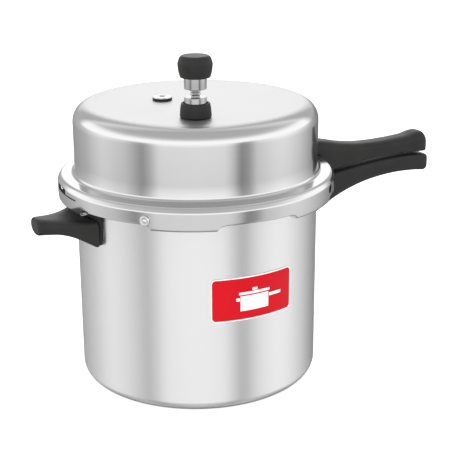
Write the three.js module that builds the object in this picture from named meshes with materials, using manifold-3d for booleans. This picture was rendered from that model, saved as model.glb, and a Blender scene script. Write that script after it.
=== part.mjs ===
// Stovetop pressure cooker of the outer-lid kind, about 12 litres with its tall lid.
// Millimetres, +Z up. The pot rests on z = 0 with its axis on the Z axis, the long handles point
// along +X and the helper handle along -X. The lid is drawn locked on the pot.

import * as THREE from 'three';
import { mergeVertices } from 'three/addons/utils/BufferGeometryUtils.js';
import Module from 'manifold-3d';

const wasm = await Module();
wasm.setup();

// ---------------------------------------------------------------- driving dimensions

const GAP = 0.3; // running clearance left between neighbouring pieces
const ROUND = 48; // segments round the pot and the lid
const SMALL_ROUND = 20; // segments round the vent, the weight and the plug
const FASTENER_ROUND = 10; // segments round a rivet, a screw or an insert

const pot = {
  radius: 122.5,
  wall: 3,
  base: 5,
  corner: 12,
  flangeBottom: 198.6,
  flangeTop: 202,
  flangeRadius: 128,
};

const bayonet = {
  count: 6,
  pitch: 60,
  tongueHalf: 13.5, // degrees either side of a tongue's middle
  tongueRadius: 136.9,
  lipBottom: 195.4, // turned-down edge of each tongue
  lipWidth: 2.5,
  lugHalf: 12.6,
  lugBottom: 191.6,
  legTop: 194.6, // upper face of the leg that hooks under a tongue
  legInner: 128.8,
  cutBottom: 197, // lower edge of the skirt between two lugs
};

const lid = {
  wall: 2.5,
  radius: 122.8,
  skirtRadius: 140.2,
  top: 285,
};

// The outside of the lid as [radius, height, rounding]: the top falls slightly towards its edge, the
// wall flares a little at its foot and turns out into a shelf, and the shelf turns down over a steep
// shoulder into the upright skirt.
const lidOutside = [
  [0, lid.top, 0],
  [95, lid.top, 200],
  [lid.radius, lid.top - 1.6, 18],
  [lid.radius, 225.1, 70],
  [124.3, 216.15, 4],
  [137.13, 214.87, 4.5],
  [lid.skirtRadius, 209.56, 4],
  [lid.skirtRadius, bayonet.lugBottom, 0],
];

const gasket = { inner: 121.2, foot: 134.3, footTop: 204.2, outer: 137.3, bottom: 202.3, top: 213.3 };

// The release window and the slit beside it, as angles round the skirt.
const releaseWindow = { from: 168, to: 180, bottom: 204.4, top: 210.2 };
const releaseSlit = { from: 179, to: 189.6, bottom: 204.4, top: 205.7 };
const skirtHole = { angle: -46, z: 205.6, radius: 4.8 };

const stopRivet = { angle: -134.8, z: 201.5, shank: 2.2, head: 4.9, tail: 134.8 };

const vent = { x: -33.4, y: -71.6 };
const plug = { x: -30, y: 14 };

const label = { middle: -89, halfWidth: 20.6, bottom: 95, top: 139, thickness: 0.35, corner: 5 };

const rivetShank = 2.1;
const rivetHead = 3.3;

// ---------------------------------------------------------------- materials

function material(color, roughness, metalness) {
  return new THREE.MeshStandardMaterial({ color, roughness, metalness });
}

const aluminium = material(0xd2d2cf, 0.32, 1);
const brightSteel = material(0xc4c6c8, 0.18, 1);
const brass = material(0xb9975a, 0.35, 1);
const phenolic = material(0x242423, 0.42, 0);
const nitrile = material(0x1c1c1d, 0.75, 0);
const redLabel = material(0xd81e28, 0.35, 0);
const fusibleMetal = material(0x6d6e70, 0.5, 1);

// ---------------------------------------------------------------- solid helpers

const radians = THREE.MathUtils.degToRad;
const FLAT_SQUARENESS = 7; // of the faces that the two long handles turn to each other

function toSolid(geometry) {
  const bare = geometry.clone();
  bare.deleteAttribute('normal');
  bare.deleteAttribute('uv');
  const welded = mergeVertices(bare, 1e-4);
  return new wasm.Manifold(new wasm.Mesh({
    numProp: 3,
    vertProperties: new Float32Array(welded.attributes.position.array),
    triVerts: new Uint32Array(welded.index.array),
  }));
}

function toGeometry(solid) {
  const mesh = solid.getMesh();
  const geometry = new THREE.BufferGeometry();
  geometry.setAttribute('position', new THREE.BufferAttribute(mesh.vertProperties, 3));
  geometry.setIndex(new THREE.BufferAttribute(mesh.triVerts, 1));
  geometry.computeVertexNormals();
  return geometry;
}

function join(first, ...others) {
  return toGeometry(others.reduce((sum, other) => sum.add(toSolid(other)), toSolid(first)));
}

function cut(body, ...tools) {
  return toGeometry(tools.reduce((rest, tool) => rest.subtract(toSolid(tool)), toSolid(body)));
}

// A closed outline of [radius, height] points, counter-clockwise with the axis on the left.
function turned(outline, segments = ROUND) {
  const points = outline.map(([radius, height]) => new THREE.Vector2(radius, height));
  if (outline[0][0] > 0) {
    points.push(points[0].clone());
  }
  const geometry = new THREE.LatheGeometry(points, segments);
  geometry.rotateX(Math.PI / 2);
  return geometry;
}

// Points of an arc about (r, z), from one angle to another in degrees.
function arc(r, z, radius, from, to, steps = 5) {
  return Array.from({ length: steps + 1 }, (_, i) => {
    const angle = radians(from + ((to - from) * i) / steps);
    return [r + radius * Math.cos(angle), z + radius * Math.sin(angle)];
  });
}

// Moves an open outline of [radius, height, rounding] corners sideways, towards its left when
// distance is positive. Left is outwards for an outline that runs down the outside.
function offset(corners, distance) {
  const flat = corners.map(([r, z]) => new THREE.Vector2(r, z));
  const sides = flat.slice(1).map((point, i) => {
    const along = point.clone().sub(flat[i]).normalize();
    return new THREE.Vector2(-along.y, along.x);
  });
  return flat.map((point, i) => {
    const before = sides[Math.max(i - 1, 0)];
    const after = sides[Math.min(i, sides.length - 1)];
    const shift = before.clone().add(after).multiplyScalar(distance / (1 + before.dot(after)));
    const turn = Math.sign(before.cross(after));
    const rounding = corners[i][2] && corners[i][2] - turn * distance;
    return [point.x + shift.x, point.y + shift.y, rounding];
  });
}

// Rounds the inner corners of an open outline.
function rounded(corners, steps = 4) {
  return corners.flatMap(([r, z, size], i) => {
    if (!size) {
      return [[r, z]];
    }
    const here = new THREE.Vector2(r, z);
    const back = new THREE.Vector2(...corners[i - 1].slice(0, 2)).sub(here).normalize();
    const ahead = new THREE.Vector2(...corners[i + 1].slice(0, 2)).sub(here).normalize();
    const half = Math.acos(back.dot(ahead)) / 2;
    const centre = back.clone().add(ahead).normalize().multiplyScalar(size / Math.sin(half)).add(here);
    const first = back.multiplyScalar(size / Math.tan(half)).add(here).sub(centre);
    const sweep = (Math.PI - 2 * half) * Math.sign(first.cross(here.clone().sub(centre)));
    return Array.from({ length: steps + 1 }, (_, step) => {
      const spoke = first.clone().rotateAround(new THREE.Vector2(), (sweep * step) / steps).add(centre);
      return [spoke.x, spoke.y];
    });
  });
}

function cylinder(radius, bottom, top, segments = SMALL_ROUND) {
  const geometry = new THREE.CylinderGeometry(radius, radius, top - bottom, segments);
  geometry.rotateX(Math.PI / 2);
  geometry.translate(0, 0, (top + bottom) / 2);
  return geometry;
}

function box(x0, x1, halfWidth, z0, z1) {
  const geometry = new THREE.BoxGeometry(x1 - x0, 2 * halfWidth, z1 - z0);
  geometry.translate((x0 + x1) / 2, 0, (z0 + z1) / 2);
  return geometry;
}

// A block bent round the Z axis, between two radii, two angles in degrees and two heights.
function bentBlock(inner, outer, from, to, bottom, top) {
  const shape = new THREE.Shape();
  shape.absarc(0, 0, outer, radians(from), radians(to), false);
  shape.absarc(0, 0, inner, radians(to), radians(from), true);
  shape.closePath();
  const span = Math.abs(to - from);
  const geometry = new THREE.ExtrudeGeometry(shape, {
    depth: top - bottom,
    bevelEnabled: false,
    curveSegments: Math.max(2, Math.ceil(span / 5)),
  });
  geometry.translate(0, 0, bottom);
  return geometry;
}

// A plate whose outline lies in the XZ plane, as thick as twice halfWidth along Y.
function plateAlongX(outline, halfWidth) {
  const shape = new THREE.Shape(outline.map(([x, z]) => new THREE.Vector2(x, z)));
  const geometry = new THREE.ExtrudeGeometry(shape, { depth: 2 * halfWidth, bevelEnabled: false });
  geometry.translate(0, 0, -halfWidth);
  geometry.rotateX(Math.PI / 2);
  return geometry;
}

// Turns a piece drawn along +Z so that it points out from the Z axis at an angle and a height.
function pointOut(geometry, angle, z, sideways = 0) {
  geometry.rotateY(Math.PI / 2);
  geometry.translate(0, sideways, z);
  geometry.rotateZ(radians(angle));
  return geometry;
}

// ---------------------------------------------------------------- handle bodies

// A smooth bar along X from rows of [x, bottom, top, half width, squareness]. The sections are
// superellipses: a squareness of 2 is an ellipse, and a larger one is closer to a rectangle. The
// flat side, 1 for the top and -1 for the bottom, is nearly a plane.
function bar(rows, flatSide = 0, sections = 18, around = 20) {
  const columns = [1, 2, 3, 4].map((column) => new THREE.SplineCurve(
    rows.map((row) => new THREE.Vector2(row[0], row[column])),
  ));
  const positions = [];
  for (let i = 0; i <= sections; i += 1) {
    const [low, high, half, square] = columns.map((curve) => curve.getPoint(i / sections));
    const middle = (low.y + high.y) / 2;
    const rise = (high.y - low.y) / 2;
    for (let j = 0; j < around; j += 1) {
      const angle = (2 * Math.PI * j) / around;
      const across = Math.cos(angle);
      const up = Math.sin(angle);
      const power = 2 / (up * flatSide > 0 ? FLAT_SQUARENESS : square.y);
      positions.push(
        low.x,
        half.y * Math.sign(across) * Math.abs(across) ** power,
        middle + rise * Math.sign(up) * Math.abs(up) ** power,
      );
    }
  }
  const first = positions.length / 3;
  for (const row of [rows[0], rows[rows.length - 1]]) {
    positions.push(row[0], 0, (row[1] + row[2]) / 2);
  }
  const faces = [];
  for (let j = 0; j < around; j += 1) {
    const next = (j + 1) % around;
    for (let i = 0; i < sections; i += 1) {
      const here = i * around;
      const there = here + around;
      faces.push(here + j, here + next, there + next);
      faces.push(here + j, there + next, there + j);
    }
    const last = sections * around;
    faces.push(first, next, j);
    faces.push(first + 1, last + j, last + next);
  }
  const geometry = new THREE.BufferGeometry();
  geometry.setAttribute('position', new THREE.Float32BufferAttribute(positions, 3));
  geometry.setIndex(faces);
  return geometry;
}

// ---------------------------------------------------------------- fasteners

// A rivet through a wall: it points out from inner to outer, with a dome at each end.
function rivet(inner, outer, innerHead, outerHead, shank) {
  const outline = [
    [0, inner - 0.55 * innerHead],
    ...arc(0, inner, innerHead, -55, 0, 2).map(([r, z]) => [r, inner + (z - inner) * 0.55]),
    [shank, inner],
    [shank, outer],
    ...arc(0, outer, outerHead, 0, 55, 2).map(([r, z]) => [r, outer + (z - outer) * 0.55]),
    [0, outer + 0.55 * outerHead],
  ];
  return turned(outline, FASTENER_ROUND);
}

// A pan-head screw that points up, its head below z and its tip at top.
function screw(x, headBottom, headTop, top) {
  const outline = [
    [0, headBottom],
    [3.4, headBottom],
    [4, headBottom + 0.6],
    [4, headTop],
    [2, headTop],
    [2, top - 0.8],
    [1.2, top],
    [0, top],
  ];
  const body = turned(outline, FASTENER_ROUND);
  body.translate(x, 0, 0);
  const slot = new THREE.BoxGeometry(1.2, 10, 2);
  slot.translate(x, 0, headBottom);
  return cut(body, slot);
}

// A threaded brass insert round a screw, as a plain ring.
function insert(x, bottom, top) {
  const ring = turned([[2.3, bottom], [4.2, bottom], [4.2, top], [2.3, top]], FASTENER_ROUND);
  ring.translate(x, 0, 0);
  return ring;
}

function hexNut(across, bore, bottom, top) {
  const body = new THREE.CylinderGeometry(across / Math.sqrt(3), across / Math.sqrt(3), top - bottom, 6);
  body.rotateX(Math.PI / 2);
  body.translate(0, 0, (top + bottom) / 2);
  return cut(body, cylinder(bore, bottom - 1, top + 1));
}

// ---------------------------------------------------------------- pot

// Each rivet's inner head lies on the flat of the wall, which is nearer the axis off to the side.
const potRivets = [
  { sideways: -9.7, z: 181, inner: 118.3 },
  { sideways: 9.7, z: 181, inner: 118.3 },
  { sideways: 0, z: 159, inner: 118.9 },
];
const helperRivets = [
  { sideways: -13, z: 174, inner: 118 },
  { sideways: 13, z: 174, inner: 118 },
];

function rivetHole(angle, z, sideways, radius = rivetShank + GAP) {
  return pointOut(cylinder(radius, 100, 150, FASTENER_ROUND), angle, z, sideways);
}

function potShell() {
  const inner = pot.radius - pot.wall;
  const body = turned([
    [0, 0],
    ...arc(pot.radius - pot.corner, pot.corner, pot.corner, -90, 0, 4),
    [pot.radius, pot.flangeBottom],
    [pot.flangeRadius, pot.flangeBottom],
    [pot.flangeRadius, pot.flangeTop],
    [inner, pot.flangeTop],
    ...arc(inner - 9, pot.base + 9, 9, 0, -90, 3),
    [0, pot.base],
  ]);
  const tongues = [];
  for (let i = 0; i < bayonet.count; i += 1) {
    const from = i * bayonet.pitch - bayonet.tongueHalf;
    const to = i * bayonet.pitch + bayonet.tongueHalf;
    const lipInner = bayonet.tongueRadius - bayonet.lipWidth;
    tongues.push(bentBlock(125, bayonet.tongueRadius, from, to, pot.flangeBottom, pot.flangeTop));
    tongues.push(bentBlock(lipInner, bayonet.tongueRadius, from, to, bayonet.lipBottom, pot.flangeTop));
  }
  const holes = [
    ...potRivets.map(({ sideways, z }) => rivetHole(0, z, sideways)),
    ...helperRivets.map(({ sideways, z }) => rivetHole(180, z, sideways)),
  ];
  return cut(join(body, ...tongues), ...holes);
}

function potLabel() {
  const { middle, halfWidth, bottom, top, corner, thickness } = label;
  const inner = pot.radius + GAP;
  const sheet = bentBlock(inner, inner + thickness, middle - halfWidth, middle + halfWidth, bottom, top);
  const halfChord = inner * Math.sin(radians(halfWidth));
  const halfHeight = (top - bottom) / 2;
  const shape = new THREE.Shape();
  for (const [side, end, start] of [[1, 1, 0], [-1, 1, 90], [-1, -1, 180], [1, -1, 270]]) {
    const across = side * (halfHeight - corner);
    const along = end * (halfChord - corner);
    shape.absarc(across, along, corner, radians(start), radians(start + 90), false);
  }
  const outline = new THREE.ExtrudeGeometry(shape, { depth: 60, bevelEnabled: false, curveSegments: 4 });
  outline.translate(0, 0, 90);
  pointOut(outline, middle, (top + bottom) / 2);
  return toGeometry(toSolid(sheet).intersect(toSolid(outline)));
}

// ---------------------------------------------------------------- pot handle

const potTongue = { end: 205, half: 5.5, bottom: 184.4, top: 187 };
const potScrewX = 190;

function potHandleBracket() {
  const plate = bentBlock(pot.radius + GAP, 125, -6.2, 6.2, 152, 187.6);
  const tongue = box(124, potTongue.end, potTongue.half, potTongue.bottom, potTongue.top);
  const holes = potRivets.map(({ sideways, z }) => rivetHole(0, z, sideways));
  const screwHole = cylinder(2.5, 180, 190, FASTENER_ROUND);
  screwHole.translate(potScrewX, 0, 0);
  return cut(join(plate, tongue), ...holes, screwHole);
}

function potHandle() {
  const body = bar([
    [118, 139.4, 189, 17.5, 4],
    [140, 150.9, 189.6, 16, 3.6],
    [160, 161.9, 192.3, 14.6, 3.4],
    [180, 169.7, 194.6, 13.6, 3.2],
    [200, 175.2, 196.6, 13, 3.2],
    [221, 178.6, 198.3, 12.8, 3.2],
    [243, 180.1, 199.3, 13, 3.2],
    [264, 179.6, 199.2, 13.4, 3.2],
    [276, 178.4, 198.2, 13.2, 3.4],
    [279.6, 179, 196.8, 12.2, 3.4],
    [280.6, 180.8, 195, 10.8, 3.2],
  ], 1);
  const wall = cylinder(pot.radius + 2, 100, 240, ROUND);
  const plateRoom = bentBlock(118, 129.4, -6.8, 6.8, 151.2, 188);
  const tongueRoom = box(120, potTongue.end + 0.6, potTongue.half + 0.5,
    potTongue.bottom - 0.5, potTongue.top + 0.5);
  const shankRoom = cylinder(2.5, 150, 193, FASTENER_ROUND);
  const headRoom = cylinder(4.8, 150, 181.4, FASTENER_ROUND);
  const insertRoom = cylinder(4.6, 186, 191.6, FASTENER_ROUND);
  for (const room of [shankRoom, headRoom, insertRoom]) {
    room.translate(potScrewX, 0, 0);
  }
  return cut(body, wall, plateRoom, tongueRoom, shankRoom, headRoom, insertRoom);
}

// ---------------------------------------------------------------- helper handle

const helperTongue = { end: 158, half: 6, bottom: 175.4, top: 177.8 };
const helperScrewX = 150;

function helperBracket() {
  const plate = bentBlock(pot.radius + GAP, 125, -8.6, 8.6, 166.4, 181);
  const tongue = box(124, helperTongue.end, helperTongue.half, helperTongue.bottom, helperTongue.top);
  const holes = helperRivets.map(({ sideways, z }) => rivetHole(0, z, sideways));
  const screwHole = cylinder(2.5, 170, 182, FASTENER_ROUND);
  screwHole.translate(helperScrewX, 0, 0);
  return cut(join(plate, tongue), ...holes, screwHole).rotateZ(Math.PI);
}

function helperGuardPlate() {
  const sheet = bentBlock(pot.radius + GAP, 125.4, -20, 20, 160.4, 190);
  const shape = new THREE.Shape([[-14.8, -39.6], [14.8, -35.5], [14.8, 35.5], [-14.8, 39.6]]
    .map(([down, across]) => new THREE.Vector2(down, across)));
  const outline = new THREE.ExtrudeGeometry(shape, { depth: 60, bevelEnabled: false });
  outline.translate(0, 0, 90);
  pointOut(outline, 0, 175.2);
  const window = bentBlock(118, 130, -9.2, 9.2, 165.8, 181.6);
  return cut(toGeometry(toSolid(sheet).intersect(toSolid(outline))), window).rotateZ(Math.PI);
}

function helperHandle() {
  const body = bar([
    [114, 153.6, 189, 42.6, 7],
    [120, 156.4, 187, 38.4, 7],
    [127, 160.2, 185.4, 33.8, 6.5],
    [135, 164.4, 184, 28.8, 5.4],
    [143, 167.6, 183.6, 24.4, 4.4],
    [152, 169.4, 184.2, 19.2, 3.6],
    [161, 169.6, 185.2, 15.6, 3],
    [168, 169.6, 186, 14, 2.6],
    [171.6, 169.8, 185.8, 13.2, 2.4],
    [172.6, 171.2, 184.4, 11.8, 2.3],
  ]);
  const wall = cylinder(126.7, 100, 240, ROUND);
  const plateRoom = bentBlock(118, 128.8, -9.2, 9.2, 165.8, 181.6);
  const tongueRoom = box(120, helperTongue.end + 0.6, helperTongue.half + 0.5,
    helperTongue.bottom - 0.5, helperTongue.top + 0.5);
  const shankRoom = cylinder(2.5, 150, 181, FASTENER_ROUND);
  const headRoom = cylinder(4.8, 150, 173.9, FASTENER_ROUND);
  const insertRoom = cylinder(4.6, 176, 180.8, FASTENER_ROUND);
  for (const room of [shankRoom, headRoom, insertRoom]) {
    room.translate(helperScrewX, 0, 0);
  }
  return cut(body, wall, plateRoom, tongueRoom, shankRoom, headRoom, insertRoom).rotateZ(Math.PI);
}

// ---------------------------------------------------------------- lid

function lidShell() {
  const { wall, skirtRadius, top } = lid;
  const body = turned([
    ...rounded(offset(lidOutside, -wall)),
    ...rounded(lidOutside).reverse(),
  ]);
  const legs = [];
  const openings = [];
  for (let i = 0; i < bayonet.count; i += 1) {
    const middle = i * bayonet.pitch;
    const from = middle + bayonet.lugHalf;
    const to = middle + bayonet.pitch - bayonet.lugHalf;
    legs.push(bentBlock(bayonet.legInner, skirtRadius - wall / 2, middle - bayonet.lugHalf,
      middle + bayonet.lugHalf, bayonet.lugBottom, bayonet.legTop));
    openings.push(bentBlock(134, 146, from, to, bayonet.lugBottom - 2, bayonet.cutBottom));
  }
  for (const slot of [releaseWindow, releaseSlit]) {
    openings.push(bentBlock(134, 146, slot.from, slot.to, slot.bottom, slot.top));
  }
  openings.push(pointOut(cylinder(skirtHole.radius, 134, 146), skirtHole.angle, skirtHole.z));
  openings.push(rivetHole(stopRivet.angle, stopRivet.z, 0, stopRivet.shank + GAP));
  for (const { sideways, z } of lidRivets) {
    openings.push(rivetHole(0, z, sideways));
  }
  openings.push(cylinder(6.2, top - 10, top + 5).translate(vent.x, vent.y, 0));
  openings.push(cylinder(5.4, top - 10, top + 5).translate(plug.x, plug.y, 0));
  return cut(join(body, ...legs), ...openings);
}

function lidGasket() {
  const { inner, foot, footTop, outer, bottom, top } = gasket;
  const middle = (bottom + top) / 2;
  return turned([
    [inner, bottom],
    [foot, bottom],
    [foot, footTop],
    [outer, footTop],
    [outer, 208.7],
    [135.2, 212],
    [inner, top],
    [inner, middle + 1.6],
    [inner + 6, middle],
    [inner, middle - 1.6],
  ]);
}

function lidStopRivet() {
  const outer = lid.skirtRadius + GAP;
  const outline = [
    [0, stopRivet.tail],
    [stopRivet.shank, stopRivet.tail],
    [stopRivet.shank, outer],
    ...arc(0, outer, stopRivet.head, 0, 60, 4).map(([r, z]) => [r, outer + (z - outer) * 0.5]),
    [0, outer + 0.5 * stopRivet.head],
  ];
  return pointOut(turned(outline, 16), stopRivet.angle, stopRivet.z);
}

// ---------------------------------------------------------------- lid handle

const lidRivets = [
  { sideways: -9.4, z: 223.9, inner: 119.1 },
  { sideways: 9.4, z: 223.9, inner: 119.1 },
];
const lidScrewX = 190;
const lidStrap = { end: 205, half: 6, high: 219.4, low: 205.6, thick: 2.4, step: 144 };

function lidHandleBracket() {
  const { end, half, high, low, thick, step } = lidStrap;
  const tab = box(123.8, 123.8 + thick, 12.8, 221, 227.2);
  const strap = plateAlongX([
    [124.6, high],
    [step - thick, high],
    [step + 2 - thick, low],
    [end, low],
    [end, low + thick],
    [step + 2, low + thick],
    [step, high + thick],
    [124.6, high + thick],
  ], half);
  const holes = lidRivets.map(({ sideways, z }) => rivetHole(0, z, sideways));
  const screwHole = cylinder(2.5, 200, 212, FASTENER_ROUND);
  screwHole.translate(lidScrewX, 0, 0);
  return cut(join(tab, strap), ...holes, screwHole);
}

function lidHandle() {
  const body = bar([
    [116, 192.6, 231.4, 18, 4.4],
    [132, 193.2, 229.8, 17.2, 4],
    [150, 194.2, 226.6, 15.8, 3.6],
    [170, 196.6, 222.1, 14.4, 3.2],
    [190, 199.2, 219.4, 13.5, 3],
    [211, 201.3, 218.6, 13, 3],
    [232, 202.2, 219.1, 13, 3],
    [253, 202.2, 220.6, 13.4, 3],
    [266, 201.6, 223.4, 13.8, 3],
    [273.2, 201.2, 223.6, 13.4, 3],
    [276.6, 201, 220.8, 12.4, 3.2],
    [278, 201.4, 216.6, 11.4, 3.2],
  ], -1);
  const room = rounded(offset(lidOutside, 0.8)).reverse();
  const lidRoom = turned([[0, 180], [lid.skirtRadius + 0.8, 180], ...room]);
  const tabRoom = box(118, 129.6, 13.3, lidStrap.high - 6, 227.8);
  const { end, half, high, low, thick, step } = lidStrap;
  const strapRoom = plateAlongX([
    [118, 180],
    [end + 0.6, 180],
    [end + 0.6, low + thick + 0.5],
    [step + 3, low + thick + 0.5],
    [step + 1, high + thick + 0.5],
    [118, high + thick + 0.5],
  ], half + 0.6);
  const shankRoom = cylinder(2.5, 200, 214, FASTENER_ROUND);
  const insertRoom = cylinder(4.6, 205, 213.2, FASTENER_ROUND);
  for (const room of [shankRoom, insertRoom]) {
    room.translate(lidScrewX, 0, 0);
  }
  return cut(body, lidRoom, tabRoom, strapRoom, shankRoom, insertRoom);
}

// ---------------------------------------------------------------- vent and weight

const ventTop = lid.top;

function ventBase() {
  return turned([
    [6.4, ventTop + GAP],
    [14.2, ventTop + GAP],
    [15.1, ventTop + 1.2],
    [14.8, ventTop + 4.4],
    [14.3, ventTop + 8.6],
    [13.7, ventTop + 12.2],
    [13.1, ventTop + 13.5],
    [12, ventTop + 13.5],
    [10.9, ventTop + 11.6],
    [10.9, ventTop + 3],
    [6.4, ventTop + 3],
  ], SMALL_ROUND);
}

function ventStem() {
  return turned([
    [1.6, ventTop - 15],
    [5.8, ventTop - 15],
    [5.8, ventTop + 3.4],
    [10.5, ventTop + 3.4],
    [10.5, ventTop + 18.5],
    [9.8, ventTop + 19.2],
    [4, ventTop + 19.2],
    [4, ventTop + 20.4],
    [3.1, ventTop + 20.7],
    [3.1, ventTop + 31],
    [2.5, ventTop + 32],
    [1.6, ventTop + 32],
  ], SMALL_ROUND);
}

function ventWasher() {
  const top = ventTop - lid.wall - GAP;
  return turned([[6.4, top - 2], [10.6, top - 2], [10.6, top], [6.4, top]], SMALL_ROUND);
}

function ventNut() {
  const top = ventTop - lid.wall - GAP - 2 - GAP;
  return hexNut(19, 6.2, top - 6, top);
}

function weightRing() {
  return turned([
    [3.5, ventTop + 21],
    [4.4, ventTop + 21],
    [4.9, ventTop + 21.8],
    [4.3, ventTop + 23.1],
    [4.9, ventTop + 24.4],
    [4.4, ventTop + 25.8],
    [3.5, ventTop + 25.8],
  ], SMALL_ROUND);
}

function weightBody() {
  return turned([
    [3.6, ventTop + 26.7],
    [10, ventTop + 26.7],
    [10.6, ventTop + 27.3],
    [10.6, ventTop + 37],
    [6.6, ventTop + 37],
    [6.6, ventTop + 47],
    [2.7, ventTop + 47],
    [2.7, ventTop + 34.6],
    [3.6, ventTop + 33.8],
  ], SMALL_ROUND);
}

function weightNeedle() {
  return turned([
    [0, ventTop + 32.4],
    [1.2, ventTop + 33.4],
    [2.3, ventTop + 35.2],
    [2.3, ventTop + 45],
    [0, ventTop + 45],
  ], SMALL_ROUND);
}

function weightCap() {
  return turned([
    [7, ventTop + 37.4],
    [13.6, ventTop + 37.4],
    [14.4, ventTop + 38.3],
    [15.8, ventTop + 43.6],
    [16.4, ventTop + 48.6],
    ...arc(11.2, ventTop + 51.4, 5.2, -8, 70, 4),
    [11.2, ventTop + 57.5],
    [0, ventTop + 58.3],
    [0, ventTop + 48],
    [7, ventTop + 48],
  ], SMALL_ROUND);
}

// ---------------------------------------------------------------- safety plug

function safetyPlugSeal() {
  const bottom = ventTop + GAP;
  return turned([[5.3, bottom], [9.8, bottom], [9.8, bottom + 1.7], [5.3, bottom + 1.7]], SMALL_ROUND);
}

function safetyPlugBody() {
  const seat = ventTop + GAP + 1.7 + GAP;
  return turned([
    [2.3, ventTop - 12],
    [5, ventTop - 12],
    [5, seat],
    [9.5, seat],
    [9.5, seat + 0.8],
    [9, seat + 1.3],
    [2.3, seat + 1.3],
  ], SMALL_ROUND);
}

function safetyPlugCore() {
  return turned([[0, ventTop - 11], [2, ventTop - 11], [2, ventTop + 3.4], [0, ventTop + 3.6]], FASTENER_ROUND);
}

function safetyPlugNut() {
  const top = ventTop - lid.wall - GAP;
  return hexNut(15, 5.3, top - 4, top);
}

// ---------------------------------------------------------------- assembly

function add(parent, name, geometry, look) {
  const mesh = new THREE.Mesh(geometry, look);
  mesh.name = name;
  parent.add(mesh);
  return mesh;
}

const cooker = new THREE.Group();

add(cooker, 'pot_shell', potShell(), aluminium);
add(cooker, 'pot_label', potLabel(), redLabel);

add(cooker, 'pot_handle_bracket', potHandleBracket(), brightSteel);
potRivets.forEach(({ sideways, z, inner }, i) => {
  const body = pointOut(rivet(inner, 125.3, rivetHead, rivetHead, rivetShank), 0, z, sideways);
  add(cooker, `pot_bracket_rivet_${i + 1}`, body, aluminium);
});
add(cooker, 'pot_handle', potHandle(), phenolic);
add(cooker, 'pot_handle_screw', screw(potScrewX, 177.8, 180.8, 191), brightSteel);
add(cooker, 'pot_handle_insert', insert(potScrewX, 187.9, 191.2), brass);

add(cooker, 'helper_bracket', helperBracket(), brightSteel);
helperRivets.forEach(({ sideways, z, inner }, i) => {
  const body = pointOut(rivet(inner, 125.3, rivetHead, rivetHead, rivetShank), 180, z, sideways);
  add(cooker, `helper_bracket_rivet_${i + 1}`, body, aluminium);
});
add(cooker, 'helper_guard_plate', helperGuardPlate(), phenolic);
add(cooker, 'helper_handle', helperHandle(), phenolic);
add(cooker, 'helper_handle_screw', screw(helperScrewX, 170.7, 173.6, 180.6).rotateZ(Math.PI), brightSteel);
add(cooker, 'helper_handle_insert', insert(helperScrewX, 178.6, 180.5).rotateZ(Math.PI), brass);

const lidGroup = new THREE.Group();
cooker.add(lidGroup);

add(lidGroup, 'lid_shell', lidShell(), aluminium);
add(lidGroup, 'lid_gasket', lidGasket(), nitrile);
add(lidGroup, 'lid_stop_rivet', lidStopRivet(), aluminium);
add(lidGroup, 'lid_handle_bracket', lidHandleBracket(), brightSteel);
lidRivets.forEach(({ sideways, z, inner }, i) => {
  const body = pointOut(rivet(inner, 126.5, rivetHead, 3, rivetShank), 0, z, sideways);
  add(lidGroup, `lid_bracket_rivet_${i + 1}`, body, aluminium);
});
add(lidGroup, 'lid_handle', lidHandle(), phenolic);
add(lidGroup, 'lid_handle_screw', screw(lidScrewX, 202.2, 205.2, 212.6), brightSteel);
add(lidGroup, 'lid_handle_insert', insert(lidScrewX, 208.8, 212.8), brass);

const ventGroup = new THREE.Group();
ventGroup.position.set(vent.x, vent.y, 0);
lidGroup.add(ventGroup);

add(ventGroup, 'vent_base', ventBase(), phenolic);
add(ventGroup, 'vent_stem', ventStem(), brightSteel);
add(ventGroup, 'vent_washer', ventWasher(), nitrile);
add(ventGroup, 'vent_nut', ventNut(), brass);
add(ventGroup, 'weight_ring', weightRing(), brightSteel);
add(ventGroup, 'weight_body', weightBody(), brightSteel);
add(ventGroup, 'weight_needle', weightNeedle(), brightSteel);
add(ventGroup, 'weight_cap', weightCap(), phenolic);

const plugGroup = new THREE.Group();
plugGroup.position.set(plug.x, plug.y, 0);
lidGroup.add(plugGroup);

add(plugGroup, 'safety_plug_seal', safetyPlugSeal(), nitrile);
add(plugGroup, 'safety_plug_body', safetyPlugBody(), brightSteel);
add(plugGroup, 'safety_plug_core', safetyPlugCore(), fusibleMetal);
add(plugGroup, 'safety_plug_nut', safetyPlugNut(), brass);

export default cooker;
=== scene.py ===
"""Looks of a stovetop pressure cooker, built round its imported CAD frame.

Sizes are in millimetres and angles in degrees, in the CAD frame: the pot stands on z = 0 with its
axis on Z, the long handles point along +X and the short helper handle along -X. Every vertex is
turned into metres when its mesh is made.
"""

import math

import bpy
from mathutils import Matrix, Vector


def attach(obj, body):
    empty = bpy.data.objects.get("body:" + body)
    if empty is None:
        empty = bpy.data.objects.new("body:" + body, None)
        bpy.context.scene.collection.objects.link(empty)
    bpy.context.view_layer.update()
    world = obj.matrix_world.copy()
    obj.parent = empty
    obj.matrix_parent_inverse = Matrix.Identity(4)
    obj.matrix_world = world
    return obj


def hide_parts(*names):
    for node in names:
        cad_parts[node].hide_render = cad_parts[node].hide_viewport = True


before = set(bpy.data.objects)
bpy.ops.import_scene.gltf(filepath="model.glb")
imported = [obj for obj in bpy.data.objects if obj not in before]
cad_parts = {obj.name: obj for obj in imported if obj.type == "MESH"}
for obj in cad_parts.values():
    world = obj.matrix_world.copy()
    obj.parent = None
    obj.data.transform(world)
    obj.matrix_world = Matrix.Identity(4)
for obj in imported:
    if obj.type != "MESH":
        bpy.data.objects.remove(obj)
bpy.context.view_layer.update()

# ------------------------------------------------------------------ driving values

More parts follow.
